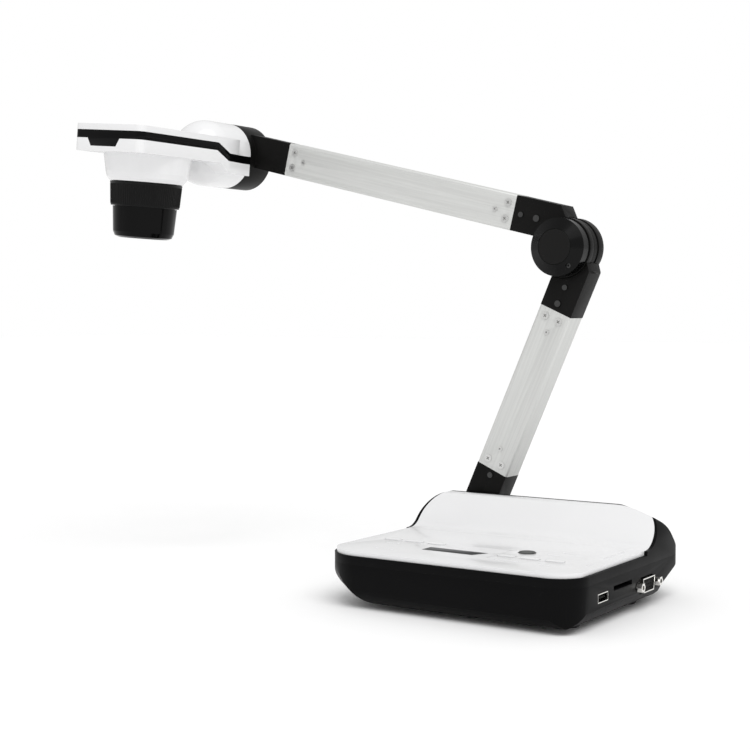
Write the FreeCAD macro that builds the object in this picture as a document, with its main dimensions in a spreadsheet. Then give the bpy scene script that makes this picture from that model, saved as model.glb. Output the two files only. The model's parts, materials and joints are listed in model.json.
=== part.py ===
"""Desktop document camera: a weighted base, a two-link folding arm and a tilting camera head.

Row frame: +Z up, the user sits on the -Y side, +X is the user's right. The origin is on the table,
under the middle of the whole object as it stands. Each group of pieces is drawn in the frame of the
link that carries it, and the link frames are worked out from the driving dimensions.
"""
import FreeCAD, Part
import os
import re
import Sketcher

Vector, Rotation, Placement = FreeCAD.Vector, FreeCAD.Rotation, FreeCAD.Placement
doc = FreeCAD.newDocument("document_camera")

# ---------------------------------------------------------------- driving dimensions (mm, degrees)
DIMENSIONS = {
    # base
    "base_wide": 162, "base_deep": 148, "base_shift_x": 98.8, "base_shift_y": -1.2,
    "front_left_round": 24, "front_right_round": 19, "back_left_round": 19, "back_right_round": 14.7,
    "casing_wall": 2.5, "foot_high": 3, "parting_high": 25,
    "panel_high": 32.5, "panel_thick": 2.5, "crest_high": 53.5,
    "slope_foot_y": 28, "crest_y": 46, "panel_back_y": 49,
    "left_round": 21.5, "right_round": 10, "front_round": 8, "back_round": 18,
    "crest_end_round": 17, "crest_back_round": 24, "panel_inset": 2,
    "diagonal_left": 99.7, "diagonal_right": 103.5, "diagonal_round": 22,
    "foot_radius": 6.5, "foot_left_x": -52, "foot_right_x": 64, "foot_front_y": -46,
    "foot_back_y": 28,
    # panel controls
    "key_long": 11, "key_deep": 4.6, "key_gap": 0.3, "key_proud": 0.3, "key_low": 27,
    "round_key_radius": 5, "round_key_x": 26.3, "round_key_y": -21.4,
    # ports on the right side
    "port_floor": 13.4, "vga_y": 19.2, "vga_z": 14.2, "jackscrew_pitch": 25,
    # arm
    "arm_deep": 17, "tube_wide": 22.6, "tube_wall": 2, "arm_mid_y": 64.5,
    "shoulder_x": -52, "shoulder_z": 41, "lower_lean": 23.74,
    "lower_tube_start": 29.9, "lower_tube_end": 139.3, "elbow_offset": 11.2, "lower_long": 176.7,
    "upper_rise": 13.71, "upper_tube_offset": 13.6, "upper_tube_start": 38.5,
    "upper_tube_end": 220.2, "knuckle_radius": 18.5, "tongue_half": 2.5, "cheek_inner": 3.5,
    "fit_gap": 0.05, "moving_gap": 0.4, "shoulder_pin_radius": 3, "elbow_pin_radius": 4,
    "plug_gap": 0.1, "plug_long": 16,
    # head
    "head_along": 269.6, "head_above": 6.3, "head_roll": 5.3, "hub_radius": 22.5,
    "hub_front": -14.2, "hub_back": 8.8, "head_rim_y": -14.6, "head_front_y": -132.5,
    "head_half": 29.5, "head_top": 10.3, "head_floor": -7, "shell_wall": 2,
    "band_top": 6.3, "band_high": 5.2, "band_drop": 6.2, "bend_start_y": -57.5,
    "bend_end_y": -45, "dome_y": -37, "lens_y": -93.5, "head_pin_radius": 5,
    "housing_top_radius": 28.9, "housing_waist_radius": 27, "housing_end_radius": 24,
    "housing_waist_z": -18.5, "housing_end_z": -24.4,
    "ring_top_radius": 23.7, "ring_end_radius": 22.4, "ring_bore": 20.2,
    "ring_top_z": -24.7, "ring_end_z": -40.5,
    "barrel_top_radius": 21.1, "barrel_end_radius": 19.8, "barrel_top_z": -40.8,
    "barrel_end_z": -61.2, "glass_radius": 13,
}
sheet = doc.addObject("Spreadsheet::Sheet", "Dims")
for row, (alias, value) in enumerate(DIMENSIONS.items(), start=1):
    sheet.set(f"A{row}", alias)
    sheet.set(f"B{row}", str(value))
    sheet.setAlias(f"B{row}", alias)
doc.recompute()


def bound(text):
    """Turn an expression written with aliases into one that reads the sheet."""
    return re.sub(r"[a-z][a-z_]*", lambda m: "Dims." + m[0] if m[0] in DIMENSIONS else m[0], str(text))


def amount(text):
    """The number that an expression has now."""
    return float(sheet.evalExpression(bound(text)))


# ---------------------------------------------------------------- link frames
def frame_at(x, y, z, turn=0):
    """A frame at x, y, z, turned about Y (positive leans +Z towards +X)."""
    return Placement(Vector(amount(x), amount(y), amount(z)), Rotation(Vector(0, 1, 0), amount(turn)))


BASE = frame_at("base_shift_x", "base_shift_y", 0)
LOWER = BASE * frame_at("shoulder_x", "arm_mid_y", "shoulder_z", "lower_lean")
ELBOW = LOWER * frame_at("-elbow_offset", 0, "lower_long")
UPPER = ELBOW * frame_at(0, 0, 0, "upper_rise - lower_lean")
HEAD = UPPER * frame_at("-head_along", 0, "head_above", "head_roll - upper_rise")
nodes = []


def node(label, shape_object, frame):
    """Name a finished sub-part and put it in its link's frame."""
    shape_object.Label = label
    shape_object.Placement = frame
    nodes.append(shape_object)
    return shape_object


# ---------------------------------------------------------------- drawing helpers
def sketch(body, plane, outline, offset=0):
    """A closed outline of (x, y) expressions on one of the body's own planes."""
    origin_plane = [f for f in body.Origin.OriginFeatures if f.Role == plane + "_Plane"][0]
    drawn = body.newObject("Sketcher::SketchObject", "Outline")
    drawn.AttachmentSupport = [(origin_plane, "")]
    drawn.MapMode = "FlatFace"
    drawn.setExpression("AttachmentOffset.Base.z", bound(offset))
    corners = [Vector(amount(x), amount(y), 0) for x, y in outline]
    count = len(corners)
    for i in range(count):
        drawn.addGeometry(Part.LineSegment(corners[i], corners[(i + 1) % count]), False)
    for i in range(count):
        drawn.addConstraint(Sketcher.Constraint("Coincident", i, 2, (i + 1) % count, 1))
    for i in range(count):
        for kind, text, value in zip(("DistanceX", "DistanceY"), outline[i], corners[i]):
            index = drawn.addConstraint(Sketcher.Constraint(kind, -1, 1, i, 1, value))
            drawn.setExpression(f"Constraints[{index}]", bound(text))
    return drawn


def edges_by(shape, test):
    """Names of the edges whose middle point passes the test."""
    names = []
    for number, edge in enumerate(shape.Edges, start=1):
        if test(edge.CenterOfMass):
            names.append(f"Edge{number}")
    return names


def rounded(body, base, rounds):
    """Fillet the body's edges: each round is (radius expression, test on an edge's middle)."""
    for radius, test in rounds:
        fillet = body.newObject("PartDesign::Fillet", "Round")
        fillet.Base = (base, edges_by(base.Shape, test))
        fillet.setExpression("Radius", bound(radius))
        doc.recompute()
        base = fillet
    return body


def prism(plane, outline, low, high, rounds=()):
    """An outline on the XY, XZ or YZ plane, padded from low to high along the plane's axis."""
    body = doc.addObject("PartDesign::Body", "Prism")
    offset = f"-({high})" if plane == "XZ" else low
    pad = body.newObject("PartDesign::Pad", "Pad")
    pad.Profile = sketch(body, plane, outline, offset)
    pad.setExpression("Length", bound(f"({high}) - ({low})"))
    doc.recompute()
    return rounded(body, pad, rounds)


def block(x, y, z, rounds=()):
    """A box between (low, high) expressions on each axis."""
    outline = [(x[0], y[0]), (x[1], y[0]), (x[1], y[1]), (x[0], y[1])]
    return prism("XY", outline, z[0], z[1], rounds)


def turned(plane, outline, offset=0):
    """An outline of (radius, along) points turned about the sketch's vertical axis."""
    body = doc.addObject("PartDesign::Body", "Turned")
    profile = sketch(body, plane, outline, offset)
    turn = body.newObject("PartDesign::Revolution", "Turn")
    turn.Profile = profile
    turn.ReferenceAxis = (profile, ["V_Axis"])
    turn.Angle = 360
    doc.recompute()
    return body


def rod(radius, start, length, direction=(0, 0, 1)):
    """A cylinder from a start point along a direction."""
    cylinder = doc.addObject("Part::Cylinder", "Rod")
    cylinder.setExpression("Radius", bound(radius))
    cylinder.setExpression("Height", bound(length))
    place = Vector(*[amount(v) for v in start])
    cylinder.Placement = Placement(place, Rotation(Vector(0, 0, 1), Vector(*direction)))
    return cylinder


def ball(radius, centre):
    sphere = doc.addObject("Part::Sphere", "Ball")
    sphere.setExpression("Radius", bound(radius))
    sphere.Placement = Placement(Vector(*[amount(v) for v in centre]), Rotation())
    return sphere


def fused(*pieces):
    joined = doc.addObject("Part::MultiFuse", "Joined")
    joined.Shapes = list(pieces)
    joined.Refine = True
    doc.recompute()
    return joined


def group(*pieces):
    together = doc.addObject("Part::Compound", "Group")
    together.Links = list(pieces)
    doc.recompute()
    return together


def common(first, second):
    shared = doc.addObject("Part::Common", "Shared")
    shared.Base, shared.Tool = first, second
    doc.recompute()
    return shared


def cut(base, *tools):
    left = doc.addObject("Part::Cut", "Left")
    left.Base = base
    left.Tool = tools[0] if len(tools) == 1 else fused(*tools)
    left.Refine = True
    doc.recompute()
    return left


Y_AXIS = (0, 1, 0)


def near(first, second, within=0.6):
    return abs(first - second) < within


def at_xy(x, y):
    """An edge test: upright edges at x, y."""
    return lambda p: near(p.x, amount(x)) and near(p.y, amount(y))


def at_xz(x, z):
    return lambda p: near(p.x, amount(x)) and near(p.z, amount(z))


def at_yz(y, z):
    return lambda p: near(p.y, amount(y)) and near(p.z, amount(z))


# ---------------------------------------------------------------- base casings
HALF_X, HALF_Y = "base_wide / 2", "base_deep / 2"


def plan_prism(inset, low, high):
    """The base's rounded plan, pulled in by an inset."""
    x, y = f"{HALF_X} - {inset}", f"{HALF_Y} - {inset}"
    return block((f"-({x})", x), (f"-({y})", y), (low, high),
                 [(f"front_left_round - {inset}", at_xy(f"-({x})", f"-({y})")),
                  (f"front_right_round - {inset}", at_xy(x, f"-({y})")),
                  (f"back_left_round - {inset}", at_xy(f"-({x})", y)),
                  (f"back_right_round - {inset}", at_xy(x, y))])


def corner_prism(inset):
    """The base seen along its other diagonal: a rounded front left corner and a hull-like back right one."""
    left, right, low = f"-(diagonal_left - {inset})", f"diagonal_right - {inset}", f"foot_high + {inset}"
    outline = [(left, low), (f"{right} - 22.5", low), (f"{right} - 18.9", f"{low} + 3"),
               (f"{right} - 17.5", f"{low} + 7.5"), (right, f"{low} + 17"), (right, f"28 - 0.3 * {inset}"),
               (f"{right} - 11 + 0.15 * {inset}", f"43.5 - 0.5 * {inset}"),
               (f"{right} - 29.5 + 0.5 * {inset}", f"crest_high - {inset}"), (left, f"crest_high - {inset}")]
    body = prism("XZ", outline, "-130", "130",
                 [(f"diagonal_round - {inset}", at_xz(left, low)),
                  (2, at_xz(right, f"{low} + 17")),
                  (8, at_xz(*outline[5])), (22, at_xz(*outline[6])), (20, at_xz(*outline[7]))])
    body.Placement = Placement(Vector(), Rotation(Vector(0, 0, 1), 45))
    return body


def tub_blank(inset, top):
    """The lower casing's outer form (inset 0) or its inside (inset of one wall)."""
    x, y, low = f"{HALF_X} - {inset}", f"{HALF_Y} - {inset}", f"foot_high + {inset}"
    across = prism("XZ", [(f"-({x})", low), (x, low), (x, top), (f"-({x})", top)],
                   "-80", "80",
                   [(f"left_round - {inset}", at_xz(f"-({x})", low)),
                    (f"right_round - {inset}", at_xz(x, low))])
    along = prism("YZ", [(f"-({y})", low), (y, low), (y, top), (f"-({y})", top)],
                  "-90", "90",
                  [(f"front_round - {inset}", at_yz(f"-({y})", low)),
                   (f"back_round - {inset}", at_yz(y, low))])
    return common(common(common(across, along), plan_prism(inset, 0, 30)), corner_prism(inset))


CASING_POSTS = [(x, y) for x in (-50, 50) for y in (-60, 22)]
PORT_WALL = ("base_wide / 2 - 5", "base_wide / 2 + 1")
SD_SLOT = ("-25.2", "-1.1")
HDMI_PORT = ("-45", "-31.5")
DC_JACK = (40, 14)

posts = [rod(4, (x, y, "foot_high + 1"), "parting_high - foot_high - 1") for x, y in CASING_POSTS]
post_holes = [rod(1.6, (x, y, 0), 30) for x, y in CASING_POSTS]
post_mouths = [rod(3.1, (x, y, 0), 7.5) for x, y in CASING_POSTS]
tub = cut(tub_blank(0, "parting_high"), tub_blank("casing_wall", "parting_high + 1"))
tub = cut(fused(tub, *posts), *post_holes, *post_mouths,
          block(PORT_WALL, HDMI_PORT, ("port_floor", "port_floor + 5.6")),
          block(PORT_WALL, SD_SLOT, ("port_floor + 4", "port_floor + 6.6")),
          block(PORT_WALL, ("vga_y - 8.6", "vga_y + 8.6"), ("vga_z - 4.7", "vga_z + 4.7")),
          rod(2.7, (PORT_WALL[0], "vga_y - jackscrew_pitch / 2", "vga_z"), 9, (1, 0, 0)),
          rod(2.7, (PORT_WALL[0], "vga_y + jackscrew_pitch / 2", "vga_z"), 9, (1, 0, 0)),
          rod(3.6, (DC_JACK[0], 60, DC_JACK[1]), 20, Y_AXIS))
node("bottom_casing", tub, BASE)

FLAT_LOW = "panel_high - panel_thick"
SLOPE = [("slope_foot_y", "panel_high"), ("crest_y", "crest_high")]
SKIN_SLOPE = [("slope_foot_y + 1.15", FLAT_LOW), ("crest_y + 1.15", "crest_high - panel_thick")]
INNER_SLOPE = [("slope_foot_y + 2.3", "panel_high - 2 * panel_thick"), ("crest_y + 0.2", 46)]


def arch_prism(inset, top):
    """The hump seen from the front: full width, with both top corners rounded."""
    wide = f"{HALF_X} - ({inset})"
    return prism("XZ", [(f"-({wide})", 20), (wide, 20), (wide, top), (f"-({wide})", top)], "-80", "80",
                 [("crest_end_round", lambda p: near(abs(p.x), amount(wide)) and near(p.z, amount(top)))])


def hump_blank():
    """Outer form of everything above the parting line: flat deck, slope, crest and round back."""
    side = [(f"-{HALF_Y}", "parting_high"), (f"-{HALF_Y}", "panel_high"), *SLOPE,
            (HALF_Y, "crest_high"), (HALF_Y, "parting_high")]
    along = prism("YZ", side, "-90", "90",
                  [("crest_back_round - 0.5", at_yz(HALF_Y, "crest_high")),
                   (14, at_yz("slope_foot_y", "panel_high")),
                   (6, at_yz("crest_y", "crest_high"))])
    return common(common(common(along, arch_prism(0, "crest_high")), plan_prism(0, 20, 60)), corner_prism(0))


def panel_zone():
    """The space that the white panel takes out of the hump's outer form."""
    skin = prism("YZ", [("-90", FLAT_LOW), *SKIN_SLOPE, ("panel_back_y", "crest_high - panel_thick"),
                        ("panel_back_y", 60), ("-90", 60)], "-90", "90",
                 [(14, at_yz("slope_foot_y + 1.15", FLAT_LOW))])
    return common(common(skin, arch_prism("panel_inset", 54.2)), plan_prism(1.2, 20, 60))


WINDOW = [(-29, -45), (4, -45), (9, -35.5), (-29, -35.5)]
KEYS = {f"{side}_key_{i + 1}": (x + 15 * i, y)
        for side, x, y in (("left", -62, -24), ("right", 22, -38)) for i in range(3)}


def key_form(x, y, gap, low, high):
    """A key's pill outline with a gap added all round."""
    half = f"key_long / 2 + {gap}"
    deep = f"key_deep / 2 + {gap}"
    return block((f"{x} - ({half})", f"{x} + {half}"), (f"{y} - ({deep})", f"{y} + {deep}"),
                 (low, high), [(f"{deep} - 0.3", lambda p: near(abs(p.x - x), amount(half), 0.2)
                                and near(abs(p.y - y), amount(deep), 0.2))])


key_holes = [key_form(x, y, "key_gap", 24, 40) for x, y in KEYS.values()]
round_hole = rod("round_key_radius + key_gap", ("round_key_x", "round_key_y", 24), 16)
hole_tools = fused(*key_holes, round_hole)
panel = common(hump_blank(), panel_zone())
panel = cut(panel, hole_tools, prism("XY", WINDOW, "panel_high - 0.9", 40))
node("top_panel", panel, BASE)

INNER_BACK, INNER_TOP = f"{HALF_Y} - casing_wall", 50.5
inside = common(prism("YZ", [("-90", 20), ("-90", "panel_high - 2 * panel_thick"), *INNER_SLOPE,
                             (49, INNER_TOP), (INNER_BACK, INNER_TOP), (INNER_BACK, 20)], "-77.5", "77.5",
                      [("crest_back_round - 2.5", at_yz(INNER_BACK, INNER_TOP))]),
                common(common(arch_prism("casing_wall + 0.5", INNER_TOP), plan_prism("casing_wall", 20, 60)),
                       corner_prism("casing_wall")))


def slot_form(wall, front):
    """The bay that the arm folds into, open to the back, grown by a wall all round."""
    low, high = f"27.4 - {wall}", f"60.4 - {wall}"
    return prism("XZ", [(f"shoulder_x - 12.4 - {wall}", low), (f"shoulder_x + 2 + 0.4 * {wall}", low),
                        (f"shoulder_x + 68.8 + 0.4 * {wall}", high), ("shoulder_x + 40", 70),
                        (f"shoulder_x - 12.4 - {wall}", 70)], front, 90)


tongue_hole = block(("shoulder_x - 9.5", "shoulder_x + 9.5"),
                    ("arm_mid_y - tongue_half - 0.4", "arm_mid_y + tongue_half + 0.4"), (20, 34))
deck_edge = block(("-90", "90"), ("-90", 20), (FLAT_LOW, 40))
upper = cut(hump_blank(), panel_zone(), inside, deck_edge, hole_tools)
upper = cut(fused(upper, common(hump_blank(), slot_form("casing_wall", 52.9))),
            slot_form(0, 55.4), tongue_hole, panel_zone())
upper_posts = [rod(4, (x, y, "parting_high"), 3) for x, y in CASING_POSTS]
upper_post_holes = [rod(1.6, (x, y, 20), 9) for x, y in CASING_POSTS]
node("upper_casing", cut(fused(upper, *upper_posts), *upper_post_holes), BASE)

node("display_window", prism("XY", WINDOW, "panel_high - 0.9", "panel_high + 0.1"), BASE)
for label, (x, y) in KEYS.items():
    node(label, key_form(x, y, 0, "key_low", "panel_high + key_proud"), BASE)
node("round_button", turned("XZ", [(0, "key_low"), ("round_key_radius", "key_low"),
                                   ("round_key_radius", "panel_high + 0.1"),
                                   ("round_key_radius - 0.5", "panel_high + 0.6"),
                                   (0, "panel_high + 0.6")]),
     BASE * frame_at("round_key_x", "round_key_y", 0))

# ---------------------------------------------------------------- inside the base
node("control_board", block((-72, 66), (-56, 2), (24.4, 26)), BASE)
node("ballast_plate", cut(block((-56, 37), (-52, 36), (6, 18)),
                          *[rod(5, (x, y, 0), 30) for x, y in CASING_POSTS]), BASE)
node("main_board", cut(block((44, 76), (-55, 40), ("port_floor - 1.6", "port_floor")),
                       *[rod(5, (x, y, 0), 30) for x, y in CASING_POSTS],
                       block((62, 80), ("vga_y - 17", "vga_y + 17"), (0, 30))), BASE)
node("casing_screws", group(*[fused(rod(2.7, (x, y, 5.4), 2), rod(1.5, (x, y, 7.4), 20))
                              for x, y in CASING_POSTS]), BASE)
for side in ("left", "right"):
    for end in ("front", "back"):
        pad_foot = turned("XZ", [(0, 0), ("foot_radius - 0.8", 0), ("foot_radius", 0.8),
                                 ("foot_radius", "foot_high"), (0, "foot_high")])
        node(f"foot_{end}_{side}", pad_foot,
             BASE * frame_at(f"foot_{side}_x", f"foot_{end}_y", 0))

# ---------------------------------------------------------------- ports
FACE = "base_wide / 2"


def d_form(half_long, half_high, low, high):
    """The D outline of the monitor port, wider along its top edge, standing out along X."""
    return prism("YZ", [(f"vga_y - {half_long} + 1.4", f"vga_z - {half_high}"),
                        (f"vga_y + {half_long} - 1.4", f"vga_z - {half_high}"),
                        (f"vga_y + {half_long}", f"vga_z + {half_high}"),
                        (f"vga_y - {half_long}", f"vga_z + {half_high}")], low, high)


node("monitor_port_shell", cut(d_form(8.3, 4.1, f"{FACE} - 14", f"{FACE} + 1.6"),
                               d_form(7.7, 3.5, f"{FACE} - 15", f"{FACE} + 3")), BASE)
pins = [rod(0.5, (f"{FACE} - 6", f"vga_y + {2.3 * i + shift}", f"vga_z + {2 * line}"), 9, (1, 0, 0))
        for line, shift in ((-1, 0.5), (0, -0.6), (1, 0)) for i in (-2, -1, 0, 1, 2)]
node("monitor_port_insert", cut(d_form(7.6, 3.4, f"{FACE} - 14", f"{FACE} + 0.6"), *pins), BASE)
node("jackscrews", group(*[
    cut(prism("YZ", [(f"vga_y + {side} * jackscrew_pitch / 2 + {y}", f"vga_z + {z}")
                     for y, z in ((-1.35, -2.4), (1.35, -2.4), (2.7, 0),
                                  (1.35, 2.4), (-1.35, 2.4), (-2.7, 0))],
              f"{FACE} + 0.2", f"{FACE} + 3.6"),
        rod(1.3, (f"{FACE} + 1", f"vga_y + {side} * jackscrew_pitch / 2", "vga_z"), 6, (1, 0, 0)))
    for side in (-1, 1)]), BASE)
HDMI_INNER = ((f"{FACE} - 13", f"{FACE} + 2"), (f"{HDMI_PORT[0]} + 0.7", f"{HDMI_PORT[1]} - 0.7"),
              ("port_floor + 0.7", "port_floor + 4.7"))
node("video_port_shell",
     cut(block((f"{FACE} - 13.6", f"{FACE} - 0.2"), (f"{HDMI_PORT[0]} + 0.2", f"{HDMI_PORT[1]} - 0.2"),
               ("port_floor + 0.2", "port_floor + 5.2")), block(*HDMI_INNER)), BASE)
node("video_port_tongue", block((f"{FACE} - 13", f"{FACE} - 1.6"),
                                (f"{HDMI_PORT[0]} + 1.8", f"{HDMI_PORT[1]} - 1.8"),
                                ("port_floor + 2", "port_floor + 3.2")), BASE)
node("card_slot", cut(block((f"{FACE} - 30", f"{FACE} - 0.8"),
                            (f"{SD_SLOT[0]} + 0.1", f"{SD_SLOT[1]} - 0.1"),
                            ("port_floor + 3.2", "port_floor + 7.4")),
                      block((f"{FACE} - 28", f"{FACE} + 1"),
                            (f"{SD_SLOT[0]} + 0.9", f"{SD_SLOT[1]} - 0.9"),
                            ("port_floor + 4.2", "port_floor + 6.4")),
                      block((f"{FACE} - 3.2", f"{FACE} + 1"), (-60, 60), ("port_floor", "port_floor + 4.1")),
                      block((f"{FACE} - 3.2", f"{FACE} + 1"), (-60, 60), ("port_floor + 6.5", 30))), BASE)
node("power_jack", fused(cut(rod(3.5, (DC_JACK[0], 58, DC_JACK[1]), 15.4, Y_AXIS),
                             rod(2.75, (DC_JACK[0], 64, DC_JACK[1]), 12, Y_AXIS)),
                         rod(1, (DC_JACK[0], 60, DC_JACK[1]), 12.6, Y_AXIS)), BASE)

# ---------------------------------------------------------------- shoulder
tongue = prism("XZ", [("-9", -30), (9, -30), (9, 0), ("-9", 0)], "-tongue_half", "tongue_half")
tongue = fused(tongue, rod(9, (0, "-tongue_half", 0), "2 * tongue_half", Y_AXIS),
               block((-9, 9), (-10, "tongue_half"), (-30, -26)),
               block((-10, 14), (-27, -6), (-35.2, -28)))
BRACKET = BASE * frame_at("shoulder_x", "arm_mid_y", "shoulder_z")
BRACKET_HOLES = [(x, y) for x in (-6, 10) for y in (-23, -13)]
node("arm_bracket", cut(tongue, rod("shoulder_pin_radius", (0, -20, 0), 40, Y_AXIS),
                        *[rod(1.7, (x, y, -40), 14) for x, y in BRACKET_HOLES]), BRACKET)
node("bracket_screws", group(*[fused(rod(2.8, (x, y, -28), 2), rod(1.6, (x, y, -35.2), 7.4))
                               for x, y in BRACKET_HOLES]), BRACKET)
node("shoulder_pin", turned("XY", [(0, "-arm_deep / 2 + 0.2"),
                                              ("shoulder_pin_radius", "-arm_deep / 2 + 0.2"),
                                              ("shoulder_pin_radius", "arm_deep / 2 - 0.2"),
                                              (0, "arm_deep / 2 - 0.2")]), BRACKET)


def washers(bore, radius, inner, outer):
    """A washer on each side of a tongue."""
    rings = []
    for start in (inner, f"-({outer})"):
        ring = rod(radius, (0, start, 0), f"({outer}) - ({inner})", Y_AXIS)
        rings.append(cut(ring, rod(bore, (0, -20, 0), 40, Y_AXIS)))
    return group(*rings)


node("shoulder_washers", washers("shoulder_pin_radius", 8, "tongue_half", "cheek_inner - 0.15"), BRACKET)

# ---------------------------------------------------------------- lower arm
HALF_TUBE, HALF_DEEP = "tube_wide / 2", "arm_deep / 2"


def tube_screw(x, z, radius):
    """A pan-head screw in the arm's front face, with its hole below the head."""
    return fused(rod(radius, (x, f"-{HALF_DEEP} - 0.5", z), 0.5, Y_AXIS),
                 rod(radius * 0.55, (x, f"-{HALF_DEEP}", z), 5, Y_AXIS))


def screw_hole(x, z, radius):
    return rod(radius * 0.6, (x, f"-{HALF_DEEP} - 1", z), 6.5, Y_AXIS)


def hollow_tube(plane, centre, low, high):
    """A rounded rectangular tube along X (plane YZ) or along Z (plane XY)."""
    def section(inset):
        wide, deep = f"{HALF_TUBE} - {inset}", f"{HALF_DEEP} - {inset}"
        if plane == "XY":
            outline = [(f"{centre} - ({wide})", f"-({deep})"), (f"{centre} + {wide}", f"-({deep})"),
                       (f"{centre} + {wide}", deep), (f"{centre} - ({wide})", deep)]
            along = lambda p: near(abs(p.x - amount(centre)), amount(wide)) and near(abs(p.y), amount(deep))
        else:
            outline = [(f"-({deep})", f"{centre} - ({wide})"), (deep, f"{centre} - ({wide})"),
                       (deep, f"{centre} + {wide}"), (f"-({deep})", f"{centre} + {wide}")]
            along = lambda p: near(abs(p.z - amount(centre)), amount(wide)) and near(abs(p.y), amount(deep))
        extra = 0 if inset == 0 else 1
        return prism(plane, outline, f"{low} - {extra}", f"{high} + {extra}",
                     [(1.6 if inset == 0 else 0.6, along)])
    return cut(section(0), section("tube_wall"))


LOWER_SCREWS = [(-5.2, "lower_long - 42.7", 2.4), (4.7, "lower_long - 42.7", 2.4),
                (-0.1, "lower_long - 51.8", 1.6), (-5.2, "lower_long - 141.4", 2.4),
                (4.8, "lower_long - 141.4", 2.4), (0, "lower_long - 132.3", 1.6)]
LOWER_BLOCK_SCREWS = [(11.2, -18.8 - 3, 1.7), (10.8, -32.7, 2)]
PLUG_HALF = f"{HALF_TUBE} - tube_wall - plug_gap"
PLUG_DEEP = f"{HALF_DEEP} - tube_wall - plug_gap"

node("lower_tube", cut(hollow_tube("XY", 0, "lower_tube_start", "lower_tube_end"),
                       *[screw_hole(*s) for s in LOWER_SCREWS]), LOWER)
node("lower_tube_screws", group(*[tube_screw(*s) for s in LOWER_SCREWS]), LOWER)

fork = fused(prism("XZ", [("-11", 0), (11, 0), (11, "lower_tube_start"), ("-11", "lower_tube_start")],
                   f"-{HALF_DEEP} + 0.1", f"{HALF_DEEP} - 0.1"),
             rod(11, (0, f"-{HALF_DEEP} + 0.1", 0), "arm_deep - 0.2", Y_AXIS),
             block((f"-({PLUG_HALF})", PLUG_HALF), (f"-({PLUG_DEEP})", PLUG_DEEP),
                   ("lower_tube_start - 2", "lower_tube_start + plug_long")))
fork = cut(fork, block((-20, 20), ("-cheek_inner", "cheek_inner"), (-20, 14.5)),
           rod("shoulder_pin_radius + fit_gap", (0, -20, 0), 40, Y_AXIS),
           screw_hole(0.4, "lower_long - 150.7", 1.8), *[screw_hole(*s) for s in LOWER_SCREWS[3:]])
node("lower_fork", fork, LOWER)
node("fork_screw", tube_screw(0.4, "lower_long - 150.7", 1.8), LOWER)

lower_outline = [(0.2, "-lower_long + lower_tube_end"), (22.3, "-lower_long + lower_tube_end"),
                 (22.3, -7), (18.6, -2.4), (10, 0), (0, -8)]
knuckle_room = rod("knuckle_radius + moving_gap", (0, -30, 0), 60, Y_AXIS)
lower_knuckle = fused(
    cut(prism("XZ", lower_outline, f"-{HALF_DEEP} + 0.1", f"{HALF_DEEP} - 0.1",
              [(3, at_xz(22.3, -7))]), knuckle_room),
    prism("XZ", lower_outline, "-tongue_half", "tongue_half"),
    rod("knuckle_radius - 0.5", (0, "-tongue_half", 0), "2 * tongue_half", Y_AXIS),
    block((f"elbow_offset - ({PLUG_HALF})", f"elbow_offset + {PLUG_HALF}"),
          (f"-({PLUG_DEEP})", PLUG_DEEP), (-54, -36)))
lower_knuckle = cut(lower_knuckle, rod("elbow_pin_radius + fit_gap", (0, -30, 0), 60, Y_AXIS),
                    *[screw_hole(*s) for s in LOWER_BLOCK_SCREWS],
                    *[screw_hole(f"{x} + elbow_offset", f"{z} - lower_long", r)
                      for x, z, r in LOWER_SCREWS[:3]])
node("lower_elbow_block", lower_knuckle, ELBOW)
node("lower_block_screws", group(*[tube_screw(*s) for s in LOWER_BLOCK_SCREWS]), ELBOW)

# ---------------------------------------------------------------- upper arm
UPPER_SCREWS = [(-43.6, 19.1, 2.4), (-43.6, 8.9, 2.4), (-51.9, 13.4, 1.6),
                (-214.6, 19.1, 2.4), (-214.6, 8.9, 2.4), (-206, 13.9, 1.6)]
UPPER_BLOCK_SCREWS = [(-33.2, 13.5, 1.7), (-22, 13.4, 2.1)]
LOW_EDGE, TOP_EDGE = "upper_tube_offset - tube_wide / 2 + 0.2", "upper_tube_offset + tube_wide / 2 - 0.2"

node("upper_tube", cut(hollow_tube("YZ", "upper_tube_offset", "-upper_tube_end", "-upper_tube_start"),
                       *[screw_hole(*s) for s in UPPER_SCREWS]), UPPER)
node("upper_tube_screws", group(*[tube_screw(*s) for s in UPPER_SCREWS]), UPPER)

CHEEK_BACK = 10.3
cheek_room = rod("knuckle_radius + moving_gap", (0, "-cheek_inner", 0), "2 * cheek_inner", Y_AXIS)
upper_knuckle = fused(
    prism("XZ", [("-upper_tube_start", LOW_EDGE), ("-18", LOW_EDGE), (0, 0), ("-2.6", 18.2),
                 ("-7.5", TOP_EDGE), ("-upper_tube_start", TOP_EDGE)],
          f"-{HALF_DEEP} + 0.1", f"{HALF_DEEP} - 0.1"),
    rod("knuckle_radius", (0, f"-{HALF_DEEP} + 0.1", 0), "arm_deep / 2 - cheek_inner - 0.1", Y_AXIS),
    rod("knuckle_radius", (0, "cheek_inner", 0), f"{CHEEK_BACK} - cheek_inner", Y_AXIS),
    block(("-upper_tube_start - plug_long", "-upper_tube_start + 2"), (f"-({PLUG_DEEP})", PLUG_DEEP),
          (f"upper_tube_offset - ({PLUG_HALF})", f"upper_tube_offset + {PLUG_HALF}")))
upper_knuckle = cut(upper_knuckle, cheek_room, rod("elbow_pin_radius", (0, -30, 0), 60, Y_AXIS),
                    *[screw_hole(*s) for s in UPPER_BLOCK_SCREWS + UPPER_SCREWS[:3]])
node("upper_elbow_block", upper_knuckle, UPPER)
node("upper_block_screws", group(*[tube_screw(*s) for s in UPPER_BLOCK_SCREWS]), UPPER)

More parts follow.
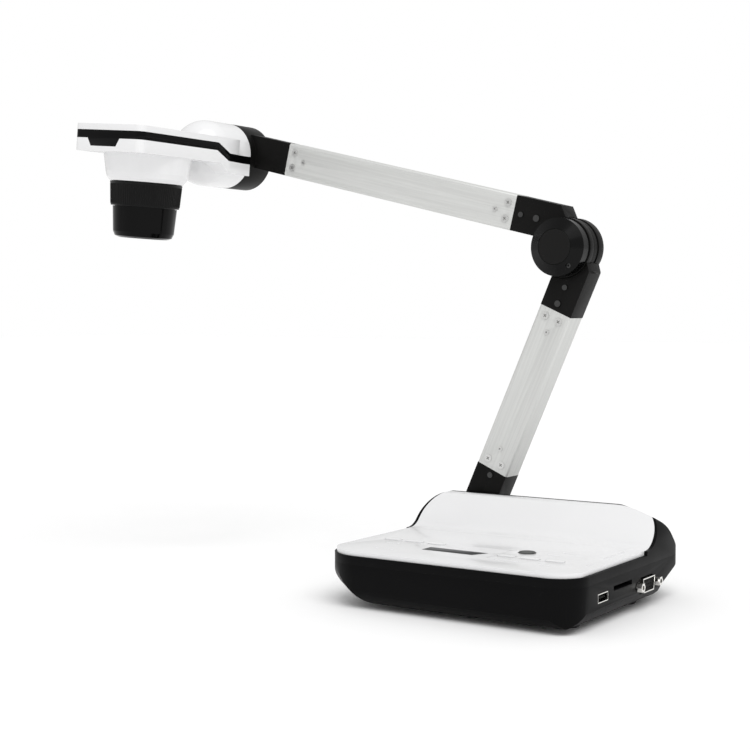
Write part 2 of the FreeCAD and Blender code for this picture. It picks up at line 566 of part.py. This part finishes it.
RING_BACK, RING_SHOULDER, RING_FACE, RING_POCKET = -8.6, -16.3, -20.3, -17.4
SET_SCREW = (10.9, -9.1)
set_screw_hole = rod(1.5, (SET_SCREW[0], -30, SET_SCREW[1]), 15, Y_AXIS)
node("elbow_ring", cut(turned("XY", [("elbow_pin_radius", RING_BACK), (17.8, RING_BACK),
                                     (17.8, RING_SHOULDER), (10.9, RING_FACE), (10.9, RING_POCKET),
                                     ("elbow_pin_radius", RING_POCKET)]), set_screw_hole), UPPER)
node("elbow_cap", turned("XY", [(0, RING_POCKET), (10.7, RING_POCKET), (10.7, -20.2),
                                (10.4, -20.5), (0, -20.5)]), UPPER)
node("elbow_set_screw", cut(rod(1.45, (SET_SCREW[0], -17.8, SET_SCREW[1]), 2.8, Y_AXIS),
                            rod(0.7, (SET_SCREW[0], -18, SET_SCREW[1]), 1.4, Y_AXIS)), UPPER)
node("elbow_pin", turned("XY", [(0, RING_POCKET), ("elbow_pin_radius", RING_POCKET),
                                ("elbow_pin_radius", CHEEK_BACK), (7, CHEEK_BACK),
                                (6.4, CHEEK_BACK + 1.6), (0, CHEEK_BACK + 1.6)]), UPPER)
node("elbow_washers", washers("elbow_pin_radius", 13, "tongue_half + 0.1", "cheek_inner"), UPPER)

HUB_IN_UPPER = HEAD * Placement(Vector(), Rotation(Vector(0, 1, 0), amount("upper_rise - head_roll")))
hub_low = "upper_tube_offset - tube_wide / 2 + 0.2 - head_above"
hub_high = "upper_tube_offset + tube_wide / 2 - 0.2 - head_above"
hub = fused(rod("hub_radius", (0, "hub_front", 0), "hub_back - hub_front", Y_AXIS),
            prism("XZ", [(0, hub_low), ("head_along - upper_tube_end", hub_low),
                         ("head_along - upper_tube_end", hub_high), (14, hub_high)],
                  f"-{HALF_DEEP} + 0.1", f"{HALF_DEEP} - 0.1"),
            block(("head_along - upper_tube_end - 3", "head_along - upper_tube_end + plug_long"),
                  (f"-({PLUG_DEEP})", PLUG_DEEP),
                  (f"upper_tube_offset - head_above - ({PLUG_HALF})",
                   f"upper_tube_offset - head_above + {PLUG_HALF}")))
hub = cut(hub, rod("head_pin_radius + fit_gap", (0, -30, 0), 60, Y_AXIS),
          rod(9, (0, "hub_back - 3.2", 0), 10, Y_AXIS),
          *[screw_hole(f"{x} + head_along", f"{z} - head_above", r) for x, z, r in UPPER_SCREWS[3:]])
node("head_knuckle", hub, HUB_IN_UPPER)

# ---------------------------------------------------------------- camera head
def head_plan(inset, low, high):
    """The head's plan: square nose, long straight sides, narrowing to the hinge rim."""
    side, nose = f"head_half - {inset}", f"head_front_y + {inset}"
    neck = f"hub_radius - 0.2 - {inset}"
    outline = [(f"-({side})", nose), (side, nose), (side, "bend_end_y"), (neck, -22),
               (neck, "head_rim_y"), (f"-({neck})", "head_rim_y"), (f"-({neck})", -22),
               (f"-({side})", "bend_end_y")]
    return prism("XY", outline, low, high,
                 [(f"5 - {inset}", lambda p: near(p.y, amount(nose)) and near(abs(p.x), amount(side)))])


def head_blank(inset):
    """The head's outer form (inset 0) or its hollow (inset of one wall)."""
    radius = f"hub_radius - {inset}"
    rim = "head_rim_y" if inset == 0 else f"head_rim_y - {inset}"
    box_part = common(head_plan(inset, f"head_floor + {inset}", f"head_top - {inset}"),
                      block((-40, 40), (-140, -30), (-30, 30)))
    heel = common(head_plan(inset, f"head_floor - band_drop + {inset}", 0),
                  prism("YZ", [("bend_start_y", "head_floor + 2"),
                               (f"bend_end_y + {inset}", f"head_floor - band_drop + {inset}"),
                               (rim, f"head_floor - band_drop + {inset}"), (rim, 2),
                               ("bend_start_y", 2)], "-40", "40"))
    return fused(box_part, heel, ball(radius, (0, "dome_y", 0)),
                 rod(radius, (0, "dome_y", 0), f"{rim} - dome_y", Y_AXIS))


TOP_LINE = [("-150", "band_top"), ("bend_start_y", "band_top"),
            ("bend_end_y", "band_top - band_drop"), (0, "band_top - band_drop")]
LOW_LINE = [(y if i != 1 and i != 2 else f"{y} - 1", f"{z} - band_high")
            for i, (y, z) in enumerate(TOP_LINE)]
above = prism("YZ", [*TOP_LINE, (0, 40), ("-150", 40)], "-45", "45")
below = prism("YZ", [*LOW_LINE, (0, -40), ("-150", -40)], "-45", "45")
band_zone = prism("YZ", [*TOP_LINE, *reversed(LOW_LINE)], "-45", "45")
window_zone = prism("XZ", [(-20, "band_top"), (-14, -4), (8, -4), (14, "band_top")],
                    "head_front_y - 2", "head_front_y + 2.4")
shell = cut(head_blank(0), head_blank("shell_wall"))
rim_bore = rod(10.4, (0, -40, 0), 40, Y_AXIS)
HEAD_SCREWS = [(x, y) for x in (-22, 22) for y in (-122, -62)]
head_posts = [rod(3, (x, y, -6), 15.3) for x, y in HEAD_SCREWS]
head_post_holes = [rod(1.3, (x, y, -8), 16) for x, y in HEAD_SCREWS]
head_post_mouths = [rod(2.4, (x, y, -9), 4) for x, y in HEAD_SCREWS]
shell = cut(fused(shell, *head_posts), *head_post_holes, *head_post_mouths, rim_bore)
node("head_upper_shell", common(shell, above), HEAD)
lens_mouth = rod("housing_top_radius - 4", (0, "lens_y", -30), 26)
node("head_lower_shell", cut(common(shell, below), window_zone, lens_mouth), HEAD)
strip = cut(fused(common(head_blank(0), band_zone), common(window_zone, head_plan(0, -6, 8))),
            head_plan("shell_wall", -20, 20), block((-20, 20), (-24, 0), (-20, 20)))
node("trim_strip", strip, HEAD)
node("lamp_board", block((-19, 13), ("head_front_y + 4.4", "head_front_y + 6"), (-3.6, 6)), HEAD)
node("lamps", group(*[block((x - 1.4, x + 1.4), ("head_front_y + 3.3", "head_front_y + 4.4"), (0, 2.8))
                      for x in (-13, -8, -3, 2, 7)]), HEAD)
node("head_screws", group(*[fused(rod(2.1, (x, y, -6.6), 1.6), rod(1.2, (x, y, -5), 12))
                            for x, y in HEAD_SCREWS]), HEAD)
node("sensor_board", block((-18, 18), ("lens_y - 18", "lens_y + 18"), (3.4, 5)), HEAD)
node("image_sensor", block((-6, 6), ("lens_y - 5", "lens_y + 5"), (1.8, 3.4)), HEAD)
node("head_hub", fused(rod(10, (0, -33, 0), "head_rim_y + 33", Y_AXIS),
                       block((-18, 18), (-46, -33), (-3, 0))), HEAD)
node("head_pin", fused(rod("head_pin_radius", (0, "head_rim_y", 0), "hub_back - head_rim_y - 3", Y_AXIS),
                       rod(8.4, (0, "hub_back - 3", 0), 2.4, Y_AXIS)), HEAD)

LENS = HEAD * frame_at(0, "lens_y", 0)
node("lens_housing", turned("XZ", [
    (21.3, "head_floor"), ("housing_top_radius", "head_floor"),
    ("housing_waist_radius", "housing_waist_z"), ("housing_waist_radius - 1", "housing_waist_z - 3.4"),
    ("housing_end_radius", "housing_end_z"), (21.3, "housing_end_z")]), LENS)
node("focus_ring", turned("XZ", [
    ("ring_bore", "ring_top_z"), ("ring_top_radius", "ring_top_z"),
    ("ring_end_radius + 0.1", "ring_end_z + 1"), ("ring_end_radius - 0.6", "ring_end_z"),
    ("ring_bore", "ring_end_z")]), LENS)
node("lens_barrel", turned("XZ", [
    ("glass_radius - 2", 1), (19.8, 1), (19.8, "barrel_top_z"), ("barrel_top_radius", "barrel_top_z"),
    ("barrel_end_radius + 0.2", "barrel_end_z + 4"), ("barrel_end_radius - 1.1", "barrel_end_z + 1.1"),
    ("barrel_end_radius - 4", "barrel_end_z"), ("glass_radius + 2", "barrel_end_z"),
    ("glass_radius", "barrel_end_z + 3.4"), ("glass_radius", "barrel_end_z + 7"),
    ("glass_radius - 2", "barrel_end_z + 7")]), LENS)
node("front_lens", turned("XZ", [
    (0, "barrel_end_z + 2.6"), (7, "barrel_end_z + 3"), ("glass_radius", "barrel_end_z + 4.2"),
    ("glass_radius", "barrel_end_z + 7"), (0, "barrel_end_z + 7")]), LENS)

# ---------------------------------------------------------------- checks and export
doc.recompute()
for thing in doc.Objects:
    if "Invalid" in thing.State or "Error" in thing.State:
        raise RuntimeError(f"{thing.Name} ({thing.Label}) failed: {thing.State}")
os.makedirs("parts", exist_ok=True)
whole = FreeCAD.BoundBox()
for piece in nodes:
    if piece.Shape.isNull() or not piece.Shape.isValid() or piece.Shape.Volume <= 0:
        raise RuntimeError(f"{piece.Label} has no valid solid")
    whole.add(piece.Shape.BoundBox)
    piece.Shape.exportStep(f"parts/{piece.Label}.step")
    print(f"{piece.Label}: {len(piece.Shape.Solids)} solid(s), {piece.Shape.Volume / 1000:.2f} cm3")
print(f"{len(nodes)} nodes, box {whole}")
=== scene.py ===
"""Looks of the desktop document camera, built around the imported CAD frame. Metres throughout."""
import json
import math
import bmesh
import bpy
from mathutils import Matrix, Vector


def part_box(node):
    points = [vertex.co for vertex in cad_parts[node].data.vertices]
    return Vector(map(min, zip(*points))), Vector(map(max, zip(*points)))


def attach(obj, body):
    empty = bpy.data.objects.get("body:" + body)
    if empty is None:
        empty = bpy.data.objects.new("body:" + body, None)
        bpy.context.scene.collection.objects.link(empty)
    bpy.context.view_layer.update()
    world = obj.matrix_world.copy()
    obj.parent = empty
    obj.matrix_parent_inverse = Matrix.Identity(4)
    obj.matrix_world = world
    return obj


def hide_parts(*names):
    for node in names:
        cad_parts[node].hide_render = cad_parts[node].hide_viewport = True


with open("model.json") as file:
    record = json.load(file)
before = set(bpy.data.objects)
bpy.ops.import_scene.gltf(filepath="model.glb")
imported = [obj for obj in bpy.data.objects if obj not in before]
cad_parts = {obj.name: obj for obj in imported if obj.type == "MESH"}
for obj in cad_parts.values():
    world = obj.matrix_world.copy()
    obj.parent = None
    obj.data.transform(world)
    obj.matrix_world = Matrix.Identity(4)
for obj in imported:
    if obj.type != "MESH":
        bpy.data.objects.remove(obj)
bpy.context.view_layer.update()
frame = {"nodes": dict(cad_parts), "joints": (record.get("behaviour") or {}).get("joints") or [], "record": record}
MM = 0.001
JOINTS = {joint["name"]: joint for joint in frame["joints"]}

# ---------------------------------------------------------------- camera, light and floor
CAMERA_AT = Vector((501.7, -738.2, 170.3)) * MM
CAMERA_TURN, CAMERA_DIP, CAMERA_LENS = 33.85, 2.67, 68.92


def add_camera():
    """The one camera, at the viewing angle of the rest pose."""
    camera = bpy.data.objects.new("camera", bpy.data.cameras.new("camera"))
    camera.location = CAMERA_AT
    camera.rotation_euler = (math.radians(90 - CAMERA_DIP), 0, math.radians(CAMERA_TURN))
    camera.data.lens = CAMERA_LENS
    camera.data.clip_start = 0.01
    bpy.context.scene.collection.objects.link(camera)
    bpy.context.scene.camera = camera


def add_area(name, at, towards, size, power):
    """A soft rectangular light aimed at a point."""
    light = bpy.data.objects.new(name, bpy.data.lights.new(name, "AREA"))
    light.data.shape = "RECTANGLE"
    light.data.size, light.data.size_y = size
    light.data.energy = power
    light.location = at
    light.rotation_euler = (Vector(towards) - Vector(at)).to_track_quat("-Z", "Y").to_euler()
    bpy.context.scene.collection.objects.link(light)


def add_sun(name, out_of, strength):
    """Even soft light from one side of the sky."""
    light = bpy.data.objects.new(name, bpy.data.lights.new(name, "SUN"))
    light.data.energy = strength
    light.data.angle = math.radians(50)
    light.rotation_euler = (-Vector(out_of)).to_track_quat("-Z", "Y").to_euler()
    bpy.context.scene.collection.objects.link(light)


def add_world(strength, seen):
    """Even white light of one strength, seen directly at another."""
    world = bpy.data.worlds.new("studio")
    world.use_nodes = True
    tree = world.node_tree
    background = tree.nodes["Background"]
    background.inputs["Color"].default_value = (1, 1, 1, 1)
    path, level = tree.nodes.new("ShaderNodeLightPath"), tree.nodes.new("ShaderNodeMapRange")
    level.inputs["To Min"].default_value, level.inputs["To Max"].default_value = strength, seen
    tree.links.new(path.outputs["Is Camera Ray"], level.inputs["Value"])
    tree.links.new(level.outputs["Result"], background.inputs["Strength"])
    bpy.context.scene.world = world


# ---------------------------------------------------------------- materials
class Graph:
    """A small wrapper that adds shader nodes and links them."""

    def __init__(self, name):
        self.material = bpy.data.materials.new(name)
        self.material.use_nodes = True
        self.tree = self.material.node_tree
        self.shader = self.tree.nodes["Principled BSDF"]
        self.coordinates = self.add("ShaderNodeTexCoord").outputs["Object"]

    def add(self, kind, **settings):
        made = self.tree.nodes.new(kind)
        for key, value in settings.items():
            setattr(made, key, value)
        return made

    def link(self, source, target):
        self.tree.links.new(source, target)

    def mapped(self, scale, turn_y):
        """Object coordinates turned about Y and then scaled."""
        mapping = self.add("ShaderNodeMapping")
        mapping.inputs["Scale"].default_value = scale
        turned = self.add("ShaderNodeMapping")
        turned.inputs["Rotation"].default_value = (0, turn_y, 0)
        self.link(self.coordinates, turned.inputs["Vector"])
        self.link(turned.outputs["Vector"], mapping.inputs["Vector"])
        return mapping.outputs["Vector"]

    def noise(self, scale, vector=None, detail=3.0):
        noise = self.add("ShaderNodeTexNoise")
        noise.inputs["Scale"].default_value = scale
        noise.inputs["Detail"].default_value = detail
        self.link(vector or self.coordinates, noise.inputs["Vector"])
        return noise.outputs["Fac"]

    def ramp(self, source, low, high):
        """Blend from one colour to another over the middle of a value's range."""
        ramp = self.add("ShaderNodeValToRGB")
        first, last = ramp.color_ramp.elements
        first.position, last.position = 0.35, 0.65
        first.color, last.color = low, high
        self.link(source, ramp.inputs["Fac"])
        return ramp.outputs["Color"]

    def spread(self, source, low, high):
        """Map a 0 to 1 value to a range."""
        spread = self.add("ShaderNodeMapRange")
        spread.inputs["To Min"].default_value, spread.inputs["To Max"].default_value = low, high
        self.link(source, spread.inputs["Value"])
        return spread.outputs["Result"]

    def bump(self, source, strength, distance):
        bump = self.add("ShaderNodeBump")
        bump.inputs["Strength"].default_value = strength
        bump.inputs["Distance"].default_value = distance
        self.link(source, bump.inputs["Height"])
        self.link(bump.outputs["Normal"], self.shader.inputs["Normal"])

    def put(self, **values):
        """Set shader inputs by name, with underscores for spaces."""
        for key, value in values.items():
            self.shader.inputs[key.replace("_", " ")].default_value = value


def shade(color, factor):
    """A colour made lighter or darker, with full opacity."""
    return tuple(min(1, c * factor) for c in color) + (1,)


def plastic(name, color, roughness, grain=0.0, grain_scale=2600.0, spread=0.05, coat=0.0, vary=0.06,
            shine=0.5):
    """Moulded plastic: slight colour drift, uneven gloss and a fine spark texture."""
    graph = Graph(name)
    drift = graph.noise(14, detail=2)
    graph.link(graph.ramp(drift, shade(color, 1 - vary), shade(color, 1 + vary)),
               graph.shader.inputs["Base Color"])
    graph.link(graph.spread(graph.noise(55, detail=5), roughness - spread, roughness + spread),
               graph.shader.inputs["Roughness"])
    if grain:
        graph.bump(graph.noise(grain_scale, detail=2), grain, 0.0001)
    graph.put(Coat_Weight=coat, Coat_Roughness=0.06, Specular_IOR_Level=shine)
    return graph.material


def metal(name, color, roughness, along=(1, 1, 1), turn_y=0.0, spread=0.08, streak=0.12, metallic=1.0):
    """Metal with streaks drawn out along one direction."""
    graph = Graph(name)
    streaks = graph.noise(900, graph.mapped(along, turn_y), detail=4)
    graph.link(graph.ramp(streaks, shade(color, 0.94), shade(color, 1.03)),
               graph.shader.inputs["Base Color"])
    graph.link(graph.spread(streaks, roughness - spread, roughness + spread),
               graph.shader.inputs["Roughness"])
    graph.bump(streaks, streak, 0.00005)
    graph.put(Metallic=metallic)
    return graph.material


def glass(name, color):
    """Coated glass with a faint violet bloom."""
    graph = Graph(name)
    graph.link(graph.spread(graph.noise(120), 0.02, 0.04), graph.shader.inputs["Roughness"])
    graph.link(graph.ramp(graph.noise(30), shade(color, 0.95), shade(color, 1.05)),
               graph.shader.inputs["Base Color"])
    graph.put(Transmission_Weight=1.0, IOR=1.52, Coat_Weight=1.0, Coat_Roughness=0.02,
              Coat_Tint=(0.62, 0.5, 1.0, 1))
    return graph.material


LOWER_LEAN, UPPER_RISE, HEAD_ROLL = math.radians(23.74), math.radians(13.71), math.radians(5.3)
WHITE = (0.78, 0.78, 0.785)
MATERIALS = {
    "white": plastic("white_gloss", WHITE, 0.25, 0.015, spread=0.03, coat=0.35, vary=0.012),
    "head_white": plastic("head_white_gloss", (0.82, 0.82, 0.825), 0.22, 0.012, spread=0.03, coat=0.5,
                          vary=0.012),
    "casing": plastic("casing_black", (0.0022, 0.0022, 0.0024), 0.42, 0.3, 2400, vary=0.15, shine=0.07),
    "arm_black": plastic("arm_black_satin", (0.005, 0.0048, 0.0045), 0.42, 0.2, 3000, vary=0.12, shine=0.1),
    "ring_black": plastic("ring_black_gloss", (0.002, 0.002, 0.002), 0.22, 0.03, vary=0.1, coat=0.08,
                          shine=0.1),
    "cap": plastic("cap_dull", (0.009, 0.0088, 0.0085), 0.6, 0.3, 3200, vary=0.12, shine=0.12),
    "trim": plastic("trim_gloss", (0.002, 0.002, 0.0022), 0.08, spread=0.02, coat=0.05, vary=0.1,
                    shine=0.08),
    "barrel": plastic("barrel_gloss", (0.001, 0.001, 0.001), 0.14, 0.03, spread=0.03, coat=0.06,
                      vary=0.1, shine=0.08),
    "ribbed": plastic("ring_ribbed", (0.004, 0.004, 0.004), 0.4, 0.2, 3200, vary=0.1, shine=0.15),
    "rubber": plastic("foot_rubber", (0.02, 0.02, 0.02), 0.75, 0.5, 1800, vary=0.15),
    "display": plastic("display_smoked", (0.02, 0.021, 0.022), 0.3, spread=0.04, vary=0.2, shine=0.08),
    "button": plastic("button_dark", (0.06, 0.062, 0.06), 0.45, 0.15, vary=0.08, shine=0.15),
    "key": plastic("key_white", (0.8, 0.8, 0.805), 0.3, 0.03, spread=0.03, coat=0.2, vary=0.02),
    "print": plastic("panel_print", (0.5, 0.5, 0.51), 0.4, 0.0, vary=0.05),
    "print_soft": plastic("panel_print_soft", (0.72, 0.72, 0.73), 0.4, 0.0, vary=0.03),
    "port_black": plastic("port_black", (0.003, 0.003, 0.003), 0.5, 0.2, vary=0.1, shine=0.08),
    "board": plastic("board_green", (0.02, 0.11, 0.05), 0.4, 0.3, 900, vary=0.2),
    "tube_low": metal("tube_low_satin", (0.66, 0.665, 0.65), 0.5, (1, 1, 0.02), -LOWER_LEAN, 0.04, 0.03,
                      0.35),
    "tube_up": metal("tube_up_satin", (0.66, 0.665, 0.65), 0.5, (0.02, 1, 1), -UPPER_RISE, 0.04, 0.03,
                     0.35),
    "steel": metal("steel_zinc", (0.62, 0.62, 0.6), 0.35),
    "screw": metal("screw_satin", (0.68, 0.68, 0.67), 0.3),
    # painted shade: a darker copy of the screw metal, used for the flat crosses that stand in for the shaded screw
    # recesses
    "painted_recess_shade": metal("screw_recess_painted_shade", (0.2, 0.2, 0.19), 0.4, metallic=0.6),
    "screw_black": metal("screw_black", (0.06, 0.06, 0.06), 0.35, metallic=0.8),
    "chrome": metal("port_chrome", (0.82, 0.81, 0.78), 0.16, spread=0.05),
    "cast": metal("hub_cast", (0.55, 0.55, 0.55), 0.5),
    "lens": glass("lens_coated", (0.75, 0.8, 0.95)),
    "lamp": plastic("lamp_lens", (0.9, 0.88, 0.75), 0.2, 0.0, coat=0.8),
    "sensor": plastic("sensor_face", (0.06, 0.06, 0.1), 0.2, 0.0, coat=0.8),
    "floor": plastic("floor_pale", (0.97, 0.97, 0.97), 0.8, 0.02, 300, vary=0.005, shine=0.3),
}

# ---------------------------------------------------------------- mesh helpers
NODE_BODY = {n: body for body, names in frame["record"]["behaviour"]["bodies"].items() for n in names}
NODE_SLOT = {part["node"]: part["material_slot"] for part in frame["record"]["subparts"]}
SHARP = math.radians(32)
BEVEL_ABOVE = math.radians(28)


def dress(piece, material, body, slot, *nodes):
    """Give a new piece its material, its body and the CAD nodes that it stands for. The slot argument is not used.
    """
    piece.data.materials.clear()
    piece.data.materials.append(MATERIALS[material])
    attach(piece, body)
    if nodes:
        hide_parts(*nodes)
    return piece


def mesh_piece(name, work):
    """Turn a bmesh into a linked object with smooth shading that stays crisp at sharp edges."""
    bmesh.ops.recalc_face_normals(work, faces=work.faces)
    mesh = bpy.data.meshes.new(name)
    for face in work.faces:
        face.smooth = True
    work.to_mesh(mesh)
    work.free()
    mesh.set_sharp_from_angle(angle=SHARP)
    piece = bpy.data.objects.new(name, mesh)
    bpy.context.scene.collection.objects.link(piece)
    return piece


def softened(name, node, material, width, segments=3):
    """A copy of a CAD node with every hard edge rolled over, as moulding and machining leave it."""
    work = bmesh.new()
    work.from_mesh(frame["nodes"][node].data)
    bmesh.ops.remove_doubles(work, verts=work.verts, dist=2e-6)
    bmesh.ops.dissolve_limit(work, angle_limit=math.radians(0.6), verts=work.verts, edges=work.edges)
    bmesh.ops.recalc_face_normals(work, faces=work.faces)
    hard = [e for e in work.edges if len(e.link_faces) == 2 and e.calc_face_angle(0) > BEVEL_ABOVE]
    bmesh.ops.bevel(work, geom=hard, offset=width * MM, offset_type="OFFSET", segments=segments,
                    profile=0.5, affect="EDGES", clamp_overlap=True, loop_slide=True)
    bmesh.ops.triangulate(work, faces=[f for f in work.faces if len(f.verts) > 4])
    piece = mesh_piece(name, work)
    return dress(piece, material, NODE_BODY[node], NODE_SLOT[node], node)


def turned(name, profile, place, sides=128, ripple=None):
    """A profile of (radius, height) in mm turned about local Z; ripple(angle, height) adds to radius."""
    work = bmesh.new()
    rings = []
    for radius, height in profile:
        if radius < 1e-6:
            rings.append([work.verts.new(place @ Vector((0, 0, height * MM)))])
            continue
        ring = []
        for i in range(sides):
            angle = 2 * math.pi * i / sides
            grown = radius + (ripple(angle, height) if ripple else 0)
            ring.append(work.verts.new(place @ Vector((grown * math.cos(angle) * MM,
                                                       grown * math.sin(angle) * MM, height * MM))))
        rings.append(ring)
    closed = rings[0] and len(rings[0]) > 1 and len(rings[-1]) > 1
    pairs = list(zip(rings, rings[1:])) + ([(rings[-1], rings[0])] if closed else [])
    for first, second in pairs:
        for i in range(sides):
            j = (i + 1) % sides
            if len(first) == 1:
                work.faces.new((first[0], second[i], second[j]))
            elif len(second) == 1:
                work.faces.new((first[i], first[j], second[0]))
            else:
                work.faces.new((first[i], first[j], second[j], second[i]))
    return mesh_piece(name, work)


def frame_at(x, y, z, turn=0.0):
    """A frame in mm, turned about Y."""
    return Matrix.Translation(Vector((x, y, z)) * MM) @ Matrix.Rotation(turn, 4, "Y")


# ---------------------------------------------------------------- link frames, from the joints
SHOULDER = Vector(JOINTS["shoulder_fold"]["pos_m"])
ELBOW_AT = Vector(JOINTS["elbow_fold"]["pos_m"])
HEAD_AT = Vector(JOINTS["head_tilt"]["pos_m"])
UPPER = Matrix.Translation(ELBOW_AT) @ Matrix.Rotation(UPPER_RISE, 4, "Y")
LOWER = Matrix.Translation(SHOULDER) @ Matrix.Rotation(LOWER_LEAN, 4, "Y")
HEAD = Matrix.Translation(HEAD_AT) @ Matrix.Rotation(HEAD_ROLL, 4, "Y")
LENS = HEAD @ frame_at(0, -93.5, 0)
casing_low, casing_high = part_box("bottom_casing")
BASE = Matrix.Translation(((casing_low.x + casing_high.x) / 2, (casing_low.y + casing_high.y) / 2, 0))

# ---------------------------------------------------------------- the pieces
softened("base_lower_casing", "bottom_casing", "casing", 0.5)
softened("base_upper_casing", "upper_casing", "casing", 0.4)
softened("base_top_panel", "top_panel", "white", 0.9, 4)
softened("lower_arm_tube", "lower_tube", "tube_low", 0.12, 2)
softened("upper_arm_tube", "upper_tube", "tube_up", 0.12, 2)
softened("lower_arm_fork", "lower_fork", "arm_black", 0.5)
softened("elbow_lower_block", "lower_elbow_block", "arm_black", 0.7)
softened("elbow_upper_block", "upper_elbow_block", "arm_black", 0.7)
softened("head_knuckle_block", "head_knuckle", "arm_black", 0.8)
softened("head_top_cover", "head_upper_shell", "head_white", 0.6, 4)
softened("head_under_cover", "head_lower_shell", "head_white", 0.6, 4)
softened("head_trim_band", "trim_strip", "trim", 0.25, 2)
softened("panel_display", "display_window", "display", 0.15, 2)

PLAIN = {"board": ("control_board", "main_board", "lamp_board", "sensor_board"),
         "steel": ("ballast_plate", "arm_bracket", "shoulder_pin", "shoulder_washers", "elbow_pin",
                   "elbow_washers", "head_pin"),
         "screw": ("casing_screws", "bracket_screws", "head_screws", "lower_tube_screws",
                   "upper_tube_screws"),
         "rubber": tuple(n for n in frame["nodes"] if n.startswith("foot_")),
         "chrome": ("monitor_port_shell", "jackscrews", "video_port_shell"),
         "port_black": ("monitor_port_insert", "video_port_tongue", "card_slot", "power_jack"),
         "cast": ("head_hub",), "lamp": ("lamps",), "sensor": ("image_sensor",), "lens": ("front_lens",),
         "screw_black": ("fork_screw", "lower_block_screws", "upper_block_screws", "elbow_set_screw"),
         "key": tuple(n for n in frame["nodes"] if "_key_" in n), "button": ("round_button",),
         "ring_black": ("elbow_ring",), "cap": ("elbow_cap",), "head_white": ("lens_housing",),
         "barrel": ("lens_barrel",), "ribbed": ("focus_ring",)}
for material, names in PLAIN.items():
    for name in names:
        mesh = frame["nodes"][name].data
        mesh.materials.clear()
        mesh.materials.append(MATERIALS[material])

# ---------------------------------------------------------------- ribs, screws and prints
RIBS, RIB_HIGH = 96, 0.32
RIBBED_BAND = (-39.3, -26.5)
SCREW_FACE_Y, RECESS_TURN = -9.02, math.radians(30)
PANEL_SKIN = 32.52


def ribs(angle, height):
    """Fine upright ribs with plain bands above and below."""
    if not RIBBED_BAND[0] < height < RIBBED_BAND[1]:
        return 0
    return RIB_HIGH * (max(0.0, math.cos(RIBS * angle)) - 0.5)


ring_outer = [(23.4, -24.7), (23.7, -25), (23.5, -26.4), (23.4, -26.6), (22.6, -39.2), (22.5, -39.4),
              (22.5, -40.2), (22.2, -40.5), (20.4, -40.5), (20.2, -40.3), (20.2, -24.9), (20.4, -24.7)]
dress(turned("focus_ring_ribbed", ring_outer, LENS, RIBS * 8, ribs), "ribbed", "focus_ring",
      "ring_rubber", "focus_ring")


def box_at(work, place, size):
    """A small box of size x, y, z in mm about a place."""
    scale = Matrix.Diagonal((size[0] * MM, size[1] * MM, size[2] * MM, 1))
    bmesh.ops.create_cube(work, size=1, matrix=place @ scale)


def painted_cross_shades(name, screws, link, body):
    """Flat dark crosses laid on the faces of the pan heads: painted shade standing in for the shaded cross
    recesses.
    """
    work = bmesh.new()
    for x, z, radius in screws:
        place = link @ frame_at(x, SCREW_FACE_Y, z, RECESS_TURN)
        box_at(work, place, (radius * 0.95, 0.06, radius * 0.22))
        box_at(work, place, (radius * 0.22, 0.07, radius * 0.95))
    dress(mesh_piece(name, work), "painted_recess_shade", body, "black_screw")


# flat crosses of painted shade on the arm screws, in place of the shade inside their cross recesses
painted_cross_shades("lower_screw_painted_shade", [(-5.2, 134, 2.4), (4.7, 134, 2.4), (-0.1, 124.9, 1.6),
                                        (-5.2, 35.3, 2.4), (4.8, 35.3, 2.4), (0, 44.4, 1.6)],
               LOWER, "lower_arm")
painted_cross_shades("upper_screw_painted_shade", [(-43.6, 19.1, 2.4), (-43.6, 8.9, 2.4), (-51.9, 13.4, 1.6),
                                        (-214.6, 19.1, 2.4), (-214.6, 8.9, 2.4), (-206, 13.9, 1.6)],
               UPPER, "upper_arm")

PRINTS = [(-48, -55.2, 11.5, 1.1), (-55, -35.5, 9, 1.1), (-53, -25.4, 6.5, 1.0), (-30, -24.2, 9, 1.2),
          (29, -50.8, 14, 1.3), (52, -51.4, 6.5, 1.1), (43.2, -21.6, 8, 1.1), (47.5, -11, 8, 1.1)]
RIGHT_PRINTS = [(70.8, -8, 1.0, 15), (71.1, 8.6, 1.0, 11), (72.6, -37.5, 1.0, 6)]
work = bmesh.new()
for x, y, wide, deep in PRINTS + RIGHT_PRINTS:
    box_at(work, BASE @ frame_at(x, y, PANEL_SKIN), (wide, deep, 0.05))
dress(mesh_piece("panel_prints", work), "print_soft", "base", "white_panel")
work = bmesh.new()
box_at(work, BASE @ frame_at(15.5, -35, PANEL_SKIN), (0.35, 29, 0.05))
box_at(work, BASE @ frame_at(15.5, -20.3, PANEL_SKIN), (1.2, 1.2, 0.06))
dress(mesh_piece("panel_line", work), "print", "base", "white_panel")

# ---------------------------------------------------------------- stage
floor_work = bmesh.new()
bmesh.ops.create_grid(floor_work, x_segments=2, y_segments=2, size=6)
floor = mesh_piece("floor", floor_work)
floor.data.materials.append(MATERIALS["floor"])
add_camera()
add_world(0.7, 1.0)
add_sun("overhead_light", (0.5, -0.35, 1.0), 1.35)
add_area("key_light", (1.2, -1.6, 1.8), (0, 0, 0.12), (1.4, 1.4), 5)
bpy.context.scene.view_settings.view_transform = "Standard"
